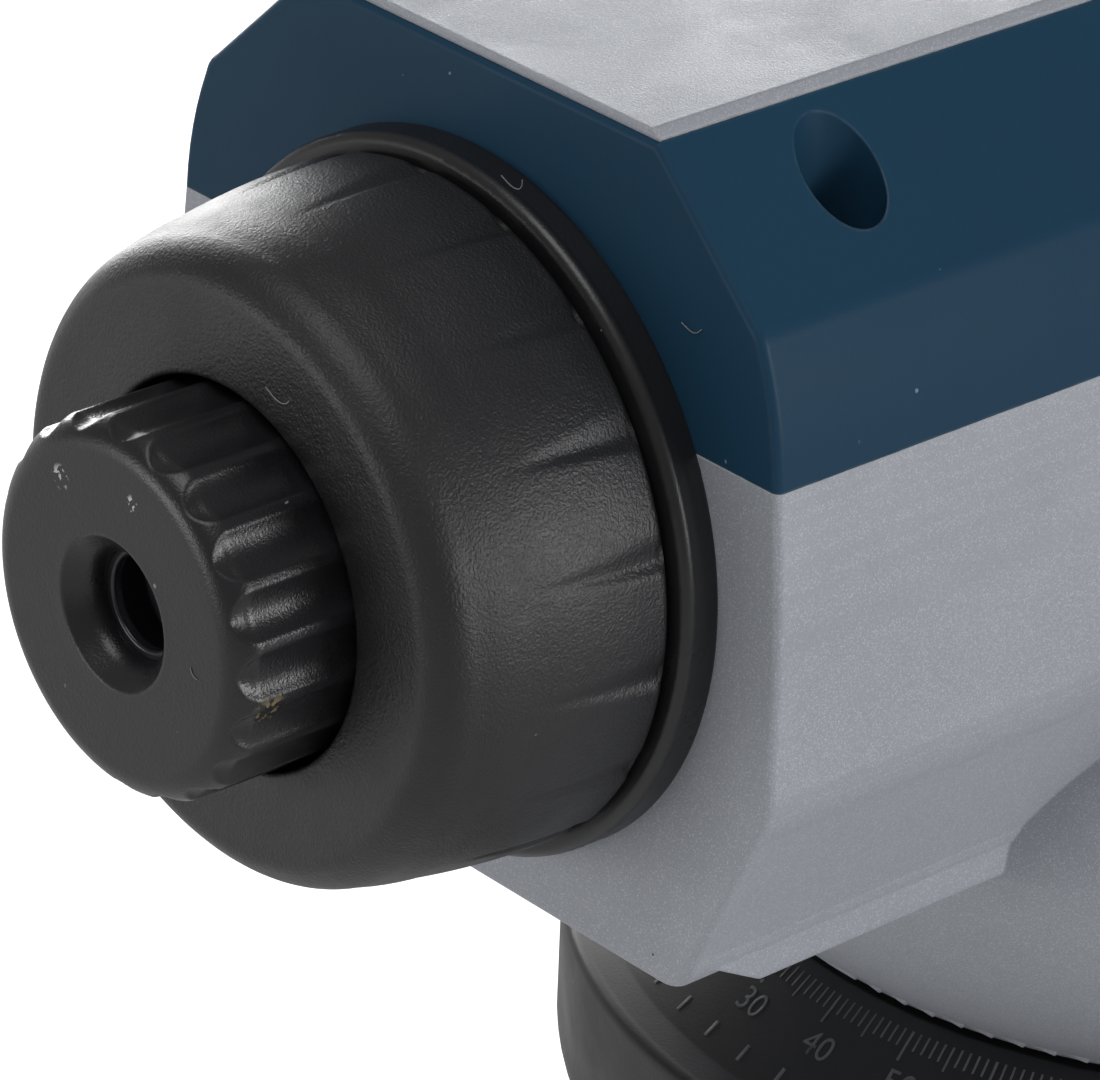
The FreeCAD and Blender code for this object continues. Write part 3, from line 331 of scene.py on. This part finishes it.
finishes = {
    "silverPaint": makeFinish("silverPaint", colour=(0.40, 0.42, 0.465), shade=(0.35, 0.37, 0.41), metallic=0.15,
                              rough=0.52, grainScale=5600.0, grainDepth=0.00005, grainTone=0.12, fleckShare=0.6,
                              fleckScale=7500.0, fleckColour=(0.70, 0.73, 0.78), fleckStrength=0.6,
                              wearColour=(0.62, 0.64, 0.68), wearAmount=0.5, dustShare=0.04,
                              dustColour=(0.15, 0.15, 0.16), smearTone=0.12),
    "bluePaint": makeFinish("bluePaint", colour=(0.015, 0.054, 0.100), shade=(0.012, 0.044, 0.082), rough=0.38,
                            specular=0.12, grainScale=5200.0, grainDepth=0.000008, grainTone=0.05,
                            wearColour=(0.10, 0.16, 0.21), wearAmount=0.7,
                            dustShare=0.14, dustSize=0.05, dustColour=(0.20, 0.27, 0.33)),
    "blackGrain": makeFinish("blackGrain", colour=(0.016, 0.016, 0.018), shade=(0.013, 0.013, 0.015), rough=0.40,
                             grainScale=4400.0, grainDepth=0.00008, waviness=0.6, grainTone=0.10,
                             wearColour=(0.07, 0.07, 0.075), wearAmount=0.4, dustShare=0.05, dustSize=0.05,
                             dustColour=(0.30, 0.30, 0.30)),
    "blackSatin": makeFinish("blackSatin", colour=(0.015, 0.015, 0.017), rough=0.33, grainScale=5200.0,
                             grainDepth=0.00002, grainTone=0.05, wearColour=(0.10, 0.10, 0.105), wearAmount=0.4,
                             dustShare=0.10, dustSize=0.05, dustColour=(0.28, 0.28, 0.28)),
    "gripPlastic": makeFinish("gripPlastic", colour=(0.015, 0.015, 0.017), rough=0.30, grainScale=5200.0,
                              grainDepth=0.00003, grainTone=0.05, wearColour=(0.10, 0.10, 0.105), wearAmount=0.5,
                              dustShare=0.10, dustSize=0.05, dustColour=(0.28, 0.28, 0.28),
                              chips=[((0.01310, -0.1098, 0.1074), 0.0016, (0.20, 0.15, 0.08)),
                                     ((-0.0056, -0.1126, 0.1180), 0.0010, (0.55, 0.55, 0.55)),
                                     ((0.0020, -0.1126, 0.1190), 0.0007, (0.55, 0.55, 0.55))]),
    "blackPaint": makeFinish("blackPaint", colour=(0.010, 0.010, 0.012), rough=0.42, grainScale=4000.0,
                             grainDepth=0.00002, grainTone=0.08, wearColour=(0.13, 0.13, 0.14), wearAmount=0.5,
                             dustShare=0.08, dustColour=(0.3, 0.3, 0.3)),
    "blackAnodised": makeFinish("blackAnodised", colour=(0.014, 0.014, 0.016), metallic=0.3, rough=0.36,
                                grainScale=6000.0, grainDepth=0.000006, turning=0.6, wearColour=(0.3, 0.3, 0.3),
                                wearAmount=0.5),
    "steel": makeFinish("steel", colour=(0.52, 0.53, 0.55), metallic=1.0, rough=0.28, grainScale=5000.0,
                        grainDepth=0.000003, turning=1.0, wearColour=(0.7, 0.7, 0.72), dustColour=(0.4, 0.4, 0.4)),
    "brass": makeFinish("brass", colour=(0.60, 0.44, 0.20), shade=(0.42, 0.30, 0.13), metallic=1.0, rough=0.30,
                        grainScale=5000.0, grainDepth=0.000003, turning=1.0, wearColour=(0.8, 0.66, 0.4)),
    "rubber": makeFinish("rubber", colour=(0.016, 0.016, 0.016), rough=0.62, grainScale=3000.0,
                         grainDepth=0.00004, wearColour=(0.06, 0.06, 0.06), dustShare=0.2,
                         dustColour=(0.22, 0.21, 0.20), specular=0.35),
    "castPlate": makeFinish("castPlate", colour=(0.30, 0.315, 0.34), metallic=0.3, rough=0.45, grainScale=4200.0,
                            grainDepth=0.00004, fleckShare=0.4, fleckScale=6000.0, fleckColour=(0.6, 0.62, 0.65),
                            wearColour=(0.65, 0.65, 0.67), wearAmount=0.7),
    "eyeRim": makeFinish("eyeRim", colour=(0.05, 0.05, 0.055), metallic=0.6, rough=0.25, grainScale=6000.0,
                         wearColour=(0.4, 0.4, 0.4), wearWidth=0.0001, wearAmount=0.6),
    "scalePaint": makeFinish("scalePaint", colour=(0.135, 0.14, 0.15), rough=0.55, grainScale=6000.0,
                             smearScale=300.0, smearTone=0.2, wearAmount=0.0),
    "lint": makeFinish("lint", colour=(0.42, 0.43, 0.44), rough=0.8, grainScale=9000.0, wearAmount=0.0),
    "mirrorGlass": makeFinish("mirrorGlass", colour=(0.86, 0.88, 0.89), metallic=1.0, rough=0.05, roughSpread=0.02,
                              grainDepth=0.0000005, grainTone=0.0, wearColour=(0.3, 0.3, 0.3)),
    "coatedGlass": makeGlass("coatedGlass", (0.93, 0.93, 0.96), 1.52, (0.55, 0.45, 0.75)),
    # the eye lens's purplish grey colour, lighter edge-on, is a painted coating glint
    "eyeGlass": makeGlass("eyeGlass", (0.42, 0.34, 0.46), 1.62, (0.75, 0.68, 0.80), 0.35),
    "levelLiquid": makeGlass("levelLiquid", (0.72, 0.86, 0.25), 1.36, (0.5, 0.7, 0.15)),
}

nodeFinish = {
    "base_plate": "castPlate", "spring_plate": "steel", "spring_plate_screws": "steel", "cradle_shoes": "brass",
    "foot_keepers": "steel", "tribrach_body": "blackPaint", "spindle": "steel", "axis_fastenings": "steel",
    "bearings": "brass", "friction_springs": "steel", "horizontal_circle": "blackPaint", "worm_wheel": "brass",
    "worm_shaft": "steel", "drive_knobs": "blackSatin", "upper_housing": "bluePaint", "lower_housing": "silverPaint",
    "top_plate": "silverPaint", "cover_screws": "steel", "small_screws": "steel", "sights": "blackSatin",
    "nose_ring": "silverPaint", "objective_tube": "blackAnodised", "objective_hood": "blackPaint",
    "objective_lens": "coatedGlass", "objective_rings": "blackAnodised", "focus_tube": "blackAnodised",
    "tube_bracket": "blackAnodised", "focus_cell": "brass", "focus_lens": "coatedGlass", "focus_shaft": "steel",
    "focus_knob": "blackSatin", "focus_grip": "rubber", "compensator_frame": "blackAnodised",
    "compensator_springs": "steel", "pendulum": "brass", "pendulum_prism": "coatedGlass",
    "fixed_prisms": "coatedGlass", "check_button": "blackSatin", "reticle_holder": "blackAnodised",
    "reticle_glass": "coatedGlass", "eyepiece_flange": "blackSatin", "eyepiece_cover": "blackGrain",
    "diopter_ring": "blackSatin", "eyepiece_sleeve": "blackAnodised", "eyepiece_barrel": "blackAnodised",
    "eye_lenses": "eyeGlass", "eyepiece_rings": "blackAnodised", "level_holder": "blackSatin",
    "level_vial": "coatedGlass", "level_liquid": "levelLiquid", "mirror_bracket": "blackSatin",
    "mirror_frame": "blackSatin", "mirror_glass": "mirrorGlass",
    "foot_stud_a": "steel", "foot_stud_b": "steel", "foot_stud_c": "steel",
    "foot_knob_a": "blackSatin", "foot_knob_b": "blackSatin", "foot_knob_c": "blackSatin",
}
for nodeName, finishName in nodeFinish.items():
    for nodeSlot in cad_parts[nodeName].material_slots:
        nodeSlot.material = finishes[finishName]
print("finishes on the carried-over pieces")


# turned pieces, spun about the telescope's line of sight
def arcThrough(first, middle, last, count):
    # points on the circle through three points, without the first one
    (ax, ay), (bx, by), (cx, cy) = first, middle, last
    d = 2 * (ax * (by - cy) + bx * (cy - ay) + cx * (ay - by))
    ux = ((ax * ax + ay * ay) * (by - cy) + (bx * bx + by * by) * (cy - ay) + (cx * cx + cy * cy) * (ay - by)) / d
    uy = ((ax * ax + ay * ay) * (cx - bx) + (bx * bx + by * by) * (ax - cx) + (cx * cx + cy * cy) * (bx - ax)) / d
    radius = math.hypot(ax - ux, ay - uy)
    start = math.atan2(ay - uy, ax - ux)
    turn = math.atan2(cy - uy, cx - ux) - start
    turn = (turn + math.pi) % (2 * math.pi) - math.pi
    return [(ux + radius * math.cos(start + turn * k / count), uy + radius * math.sin(start + turn * k / count))
            for k in range(1, count + 1)]


def outlinePoints(steps):
    # a step is (radius, place, pieces) for a line, or (middle, end, pieces) for an arc; millimetres
    points = [steps[0]]
    for step in steps[1:]:
        last = points[-1]
        if isinstance(step[0], tuple):
            points += arcThrough(last, step[0], step[1], step[2])
        else:
            count = step[2] if len(step) > 2 else 1
            points += [(last[0] + (step[0] - last[0]) * k / count, last[1] + (step[1] - last[1]) * k / count)
                       for k in range(1, count + 1)]
    return points


def spunPiece(name, steps, around, finish, body, nodes=(), shape=None, sharp=40):
    # spins a closed outline, then lets shape() move each point in or out
    bm = bmesh.new()
    corners = [bm.verts.new((radius / 1000, place / 1000, axisZ)) for radius, place in outlinePoints(steps)]
    edges = [bm.edges.new((corners[k], corners[(k + 1) % len(corners)])) for k in range(len(corners))]
    bmesh.ops.spin(bm, geom=corners + edges, cent=(0, 0, axisZ), axis=(0, 1, 0), dvec=(0, 0, 0),
                   angle=2 * math.pi, steps=around, use_merge=True)
    bmesh.ops.remove_doubles(bm, verts=bm.verts, dist=1e-7)
    if shape:
        for vert in bm.verts:
            radius = math.hypot(vert.co.x, vert.co.z - axisZ)
            angle = math.degrees(math.atan2(vert.co.z - axisZ, vert.co.x))
            moved = shape(radius * 1000, angle, vert.co.y * 1000) / 1000
            vert.co.x *= moved / radius
            vert.co.z = axisZ + (vert.co.z - axisZ) * moved / radius
    bmesh.ops.recalc_face_normals(bm, faces=bm.faces)
    finishPiece(name, bm, finish, body, nodes, sharp)


def finishPiece(name, bm, finish, body, nodes=(), sharp=40):
    for face in bm.faces:
        face.smooth = True
    for edge in bm.edges:
        if len(edge.link_faces) == 2 and edge.calc_face_angle(0) > math.radians(sharp):
            edge.smooth = False
    mesh = bpy.data.meshes.new(name)
    bm.to_mesh(mesh)
    bm.free()
    mesh.materials.append(finishes[finish])
    piece = bpy.data.objects.new(name, mesh)
    bpy.context.scene.collection.objects.link(piece)
    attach(piece, body)
    if nodes:
        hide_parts(*nodes)


rearMm = rearY * 1000

# millimetres and degrees; crispSide is the share of a hollow's width that its steep side takes
coverValues = {"length": 21.3, "hole": 13.95, "around": 540, "grips": 18, "firstGrip": 14.0, "gripStart": 3.3,
               "gripLength": 11.0, "gripHalf": 4.0, "gripDepth": 0.42, "outside": 22.4, "crispSide": 0.30}


def coverHollow(radius, angle, place):
    # shallow leaf-shaped hollows for the fingers, each with one crisp side
    v = coverValues
    along = (rearMm - v["gripStart"] - place) / v["gripLength"]
    if radius < v["outside"] or not 0 <= along < 1:
        return radius
    pitch = 360 / v["grips"]
    offset = (angle - v["firstGrip"] + pitch / 2) % pitch - pitch / 2
    half = v["gripHalf"] * (1 - along) ** 0.8 + 0.01
    across = offset / half
    if abs(across) >= 1:
        return radius
    crisp = 2 * v["crispSide"]
    if across < -1 + crisp:
        share = 0.5 - 0.5 * math.cos(math.pi * (across + 1) / crisp)
    else:
        share = (0.5 + 0.5 * math.cos(math.pi * (across + 1 - crisp) / (2 - crisp))) ** 1.2
    return radius - v["gripDepth"] * (1 - along) ** 0.9 * share


def makeCover(v):
    y = rearMm
    front = y - v["length"]
    hole = v["hole"]
    spunPiece("eyepieceCoverShell", [
        (23.65, y - 3.15), (24.2, y - 3.15), ((24.62, y - 3.3), (24.75, y - 3.9), 4),
        ((24.5, y - 9), (23.8, y - 14.2), 26),
        ((23.5, y - 16.4), (23.05, y - 18.2), 6), ((22.55, y - 19.7), (21.55, y - 20.75), 8),
        ((20.9, y - 21.15), (20.0, front), 5), (14.35, front, 5),
        ((14.06, front + 0.09), (hole, front + 0.4), 4), (hole, front + 2.4), (19.4, front + 2.4),
        (20.8, y - 15), (22.35, y - 5.3), (23.65, y - 5.3)],
        v["around"], "blackGrain", "upper", ["eyepiece_cover"], coverHollow, 60)


diopterValues = {"face": 30.6, "radius": 13.53, "recess": 5.56, "hole": 4.0, "flutes": 20, "firstFlute": 1.3,
                 "fluteHalf": 1.72, "fluteDepth": 0.62, "fluteStart": 0.5, "fluteLength": 14.3, "tipLength": 1.5,
                 "rampLength": 0.9, "outside": 1.3, "around": 640}


def fluteDepth(radius, angle, place):
    # broad grip flutes with rounded front ends, which begin on the rounded rim
    v = diopterValues
    behind = place - (rearMm - v["face"] + v["fluteStart"])
    if radius < v["radius"] - v["outside"] or not 0 < behind < v["fluteLength"]:
        return radius
    pitch = 360 / v["flutes"]
    offset = math.radians((angle - v["firstFlute"] + pitch / 2) % pitch - pitch / 2) * radius
    tip = max(1 - behind / v["tipLength"], 0)
    half = v["fluteHalf"] * math.sqrt(max(1 - tip * tip, 0)) + 0.001
    across = offset / half
    if abs(across) >= 1:
        return radius
    return radius - v["fluteDepth"] * (1 - across * across) ** 0.85 * math.sqrt(min(behind / v["rampLength"], 1))


def makeDiopter(v):
    f = rearMm - v["face"]
    r = v["radius"]
    spunPiece("diopterGripRing", [
        (v["hole"], f + 1.5), (v["recess"] - 0.12, f + 0.1, 3),
        ((v["recess"] - 0.03, f + 0.02), (v["recess"] + 0.15, f), 3),
        (11.3, f, 5), ((12.75, f + 0.55), (r, f + 1.9), 22), (r, f + 5.2, 18), (r, f + 14.7, 10), (r - 0.25, f + 15),
        (11.05, f + 15), (11.05, f + 7.9), (9.7, f + 7.9), (9.7, f + 2.8), (v["hole"], f + 2.8)],
        v["around"], "gripPlastic", "diopter", ["diopter_ring"], fluteDepth, 60)


eyeRimValues = {"inner": 3.35, "outer": 3.98, "front": 2.66, "back": 3.6, "around": 160}


def makeEyeRim(v):
    # the lens mount's lip, seen at the bottom of the eye hole
    f = rearMm - diopterValues["face"]
    front, back = f + v["front"], f + v["back"]
    spunPiece("eyeLensRim", [
        (v["inner"], f + 3.0), ((3.4, f + 2.75), (3.6, front), 4), (v["outer"], front, 2), (v["outer"], back),
        (3.55, back), (v["inner"], f + 3.4)],
        v["around"], "eyeRim", "diopter", (), None, 60)


makeCover(coverValues)
makeDiopter(diopterValues)
makeEyeRim(eyeRimValues)
print("eyepiece cover and diopter ring turned")


# graduation on the circle's cone
# metres; rim and top are (radius, height) at the cone's two ends
scaleValues = {"rim": (0.0491, 0.0489), "top": (0.0410, 0.0552), "lift": 0.00002, "thick": 0.00005,
               "tickStart": 0.0419, "tickLengths": (0.0026, 0.0021, 0.0015), "tickWidth": 0.00016, "boldShare": 1.35,
               "levelShare": 0.79, "dashRadius": 0.04815, "dashLength": 0.0015, "dashWidth": 0.00034,
               "numberSize": 0.0029, "numberRadius": 0.0454, "numberStart": 130, "numberShift": 1.5}


def onCone(v, radius, lift):
    (r0, z0), (r1, z1) = v["rim"], v["top"]
    slope = (z1 - z0) / (r1 - r0)
    steep = math.atan(-slope)
    return radius + lift * math.sin(steep), z0 + slope * (radius - r0) + lift * math.cos(steep), steep


def makeTicks(v):
    bm = bmesh.new()
    for degree in range(360):
        tenth, fifth, single = v["tickLengths"]
        length = tenth if degree % 10 == 0 else (fifth if degree % 5 == 0 else single)
        outer = v["tickStart"] + length * v["levelShare"]  # a tick slopes with the cone, so it spans less radius
        bold = v["boldShare"] if degree % 10 == 0 else 1.0
        marks = [((v["tickStart"] + outer) / 2, length, v["tickWidth"] * bold)]
        if degree % 5 == 0:
            marks.append((v["dashRadius"], v["dashLength"], v["dashWidth"]))
        for middle, long, wide in marks:
            radius, height, steep = onCone(v, middle, v["lift"])
            place = (Matrix.Rotation(math.radians(degree), 4, "Z") @ Matrix.Translation((radius, 0, height))
                     @ Matrix.Rotation(steep, 4, "Y") @ Matrix.Diagonal((long, wide, v["thick"], 1)))
            bmesh.ops.create_cube(bm, size=1.0, matrix=place)
    finishPiece("circleTicks", bm, "scalePaint", "circle")


def makeNumbers(v):
    bm = bmesh.new()
    for degree in range(0, 360, 10):
        label = (degree + v["numberStart"]) % 360
        curve = bpy.data.curves.new("number", "FONT")
        curve.body = str(label)
        curve.size = v["numberSize"]
        curve.align_x = "CENTER"
        curve.align_y = "CENTER"
        curve.extrude = v["thick"] / 2
        holder = bpy.data.objects.new("number", curve)
        flat = bpy.data.meshes.new_from_object(holder)
        radius, height, steep = onCone(v, v["numberRadius"], v["lift"])
        # the figures read from outside, with their tops towards the axis
        flat.transform(Matrix.Rotation(math.radians(degree + v["numberShift"]), 4, "Z")
                       @ Matrix.Translation((radius, 0, height))
                       @ Matrix.Rotation(steep, 4, "Y") @ Matrix.Rotation(math.radians(90), 4, "Z"))
        bm.from_mesh(flat)
        bpy.data.meshes.remove(flat)
        bpy.data.objects.remove(holder)
        bpy.data.curves.remove(curve)
    finishPiece("circleNumbers", bm, "scalePaint", "circle")


makeTicks(scaleValues)
makeNumbers(scaleValues)
print("circle graduated")


# lint and dust threads that lie on the surfaces
# a flat thread is (body, y in metres, [(x, z) mm]), a wrapped one has no y and [(radius mm, degrees, y mm)]
threadValues = {"width": 0.00004, "threads": [
    ("upper", -0.0849, [(6.2, 136.6), (7.4, 136.0), (8.4, 136.4), (8.3, 137.0)]),
    ("upper", -0.0821, [(21.3, 130.7), (22.2, 130.3), (22.9, 130.5), (23.2, 130.9)]),
    ("upper", -0.10435, [(5.6, 126.5), (6.6, 125.9), (7.8, 126.0), (8.0, 126.4)]),
    ("diopter", -0.11264, [(8.4, 109.6), (8.5, 109.0), (9.1, 109.0)]),
    ("upper", None, [(24.45, 22.3, -87.9), (24.42, 20.6, -87.0), (24.4, 19.2, -87.2)])]}


def makeThreads(v):
    for index, (body, level, points) in enumerate(v["threads"]):
        curve = bpy.data.curves.new("lintCurve", "CURVE")
        curve.dimensions = "3D"
        curve.bevel_depth = v["width"]
        curve.bevel_resolution = 1
        spline = curve.splines.new("NURBS")
        spline.points.add(len(points) - 1)
        for point, spot in zip(spline.points, points):
            if level is not None:
                point.co = (spot[0] / 1000, level, spot[1] / 1000, 1)
            else:
                radius, angle = spot[0] / 1000, math.radians(spot[1])
                point.co = (radius * math.cos(angle), spot[2] / 1000, axisZ + radius * math.sin(angle), 1)
        spline.order_u = 3
        spline.use_endpoint_u = True
        holder = bpy.data.objects.new("lintCurve", curve)
        mesh = bpy.data.meshes.new_from_object(holder)
        bm = bmesh.new()
        bm.from_mesh(mesh)
        bmesh.ops.holes_fill(bm, edges=bm.edges)
        bmesh.ops.recalc_face_normals(bm, faces=bm.faces)
        bpy.data.meshes.remove(mesh)
        bpy.data.objects.remove(holder)
        bpy.data.curves.remove(curve)
        finishPiece("lintThread%d" % index, bm, "lint", body)


makeThreads(threadValues)
print("lint laid")


# floor, light and camera
stageValues = {"size": 3.0, "floorColour": (0.8, 0.8, 0.8), "floorGlow": 0.8, "worldStrength": 0.22}
lights = {
    "topLight": {"place": (0.02, -0.42, 1.0), "power": 3.2, "size": (0.6, 0.6)},
    "backdropLight": {"place": (-1.15, 0.80, 0.27), "power": 24.0, "size": (1.5, 0.42)},
    "rightLight": {"place": (0.98, 0.27, 0.25), "power": 4.2, "size": (0.36, 0.36)},
    "frontLight": {"place": (-0.45, -0.95, 0.06), "power": 2.4, "size": (0.5, 0.3)},
}
lightAim = (0, -0.06, 0.1)
cameraValues = {"lens": 221.44, "sensor": 36.0, "clipStart": 0.01, "place": (0.31283, -0.35772, 0.31915),
                "turn": (62.9358, -1.9067, 48.736)}


def makeStage(v):
    # floor and world look white to the camera but throw little light on the level
    mesh = bpy.data.meshes.new("floor")
    bm = bmesh.new()
    bmesh.ops.create_grid(bm, x_segments=1, y_segments=1, size=v["size"])
    bm.to_mesh(mesh)
    bm.free()
    floor = bpy.data.objects.new("floor", mesh)
    bpy.context.scene.collection.objects.link(floor)
    material = bpy.data.materials.new("paleFloor")
    material.use_nodes = True
    tree = material.node_tree
    shader = tree.nodes["Principled BSDF"]
    shader.inputs["Base Color"].default_value = (*v["floorColour"], 1.0)
    shader.inputs["Roughness"].default_value = 0.9
    shader.inputs["Specular IOR Level"].default_value = 0.1
    glow = addNode(tree, "ShaderNodeEmission", values={"Strength": v["floorGlow"]})
    path = addNode(tree, "ShaderNodeLightPath")
    both = tree.nodes.new("ShaderNodeAddShader")
    choice = tree.nodes.new("ShaderNodeMixShader")
    tree.links.new(shader.outputs[0], both.inputs[0])
    tree.links.new(glow.outputs[0], both.inputs[1])
    tree.links.new(path.outputs["Is Camera Ray"], choice.inputs[0])
    tree.links.new(shader.outputs[0], choice.inputs[1])
    tree.links.new(both.outputs[0], choice.inputs[2])
    tree.links.new(choice.outputs[0], tree.nodes["Material Output"].inputs["Surface"])
    mesh.materials.append(material)
    world = bpy.data.worlds.new("studio")
    world.use_nodes = True
    tree = world.node_tree
    dim = tree.nodes["Background"]
    dim.inputs[0].default_value = (1.0, 1.0, 1.0, 1.0)
    dim.inputs[1].default_value = v["worldStrength"]
    bright = addNode(tree, "ShaderNodeBackground", values={"Strength": 1.0})
    bright.inputs[0].default_value = (1.0, 1.0, 1.0, 1.0)
    path = addNode(tree, "ShaderNodeLightPath")
    choice = tree.nodes.new("ShaderNodeMixShader")
    tree.links.new(path.outputs["Is Camera Ray"], choice.inputs[0])
    tree.links.new(dim.outputs[0], choice.inputs[1])
    tree.links.new(bright.outputs[0], choice.inputs[2])
    tree.links.new(choice.outputs[0], tree.nodes["World Output"].inputs["Surface"])
    bpy.context.scene.world = world


def makeLight(name, v):
    lamp = bpy.data.lights.new(name, "AREA")
    lamp.energy = v["power"]
    lamp.shape = "RECTANGLE"
    lamp.size, lamp.size_y = v["size"]
    holder = bpy.data.objects.new(name, lamp)
    holder.location = v["place"]
    aim = Vector(lightAim) - Vector(v["place"])
    holder.rotation_euler = aim.to_track_quat("-Z", "Y").to_euler()
    bpy.context.scene.collection.objects.link(holder)


def makeCamera(v):
    view = bpy.data.cameras.new("camera")
    view.sensor_fit = "HORIZONTAL"
    view.sensor_width = v["sensor"]
    view.lens = v["lens"]
    view.clip_start = v["clipStart"]
    camera = bpy.data.objects.new("camera", view)
    camera.location = v["place"]
    camera.rotation_euler = [math.radians(angle) for angle in v["turn"]]
    bpy.context.scene.collection.objects.link(camera)
    bpy.context.scene.camera = camera


makeStage(stageValues)
for lightName, lightSetting in lights.items():
    makeLight(lightName, lightSetting)
makeCamera(cameraValues)
bpy.context.scene.view_settings.view_transform = "Standard"
print("floor, light and camera ready")
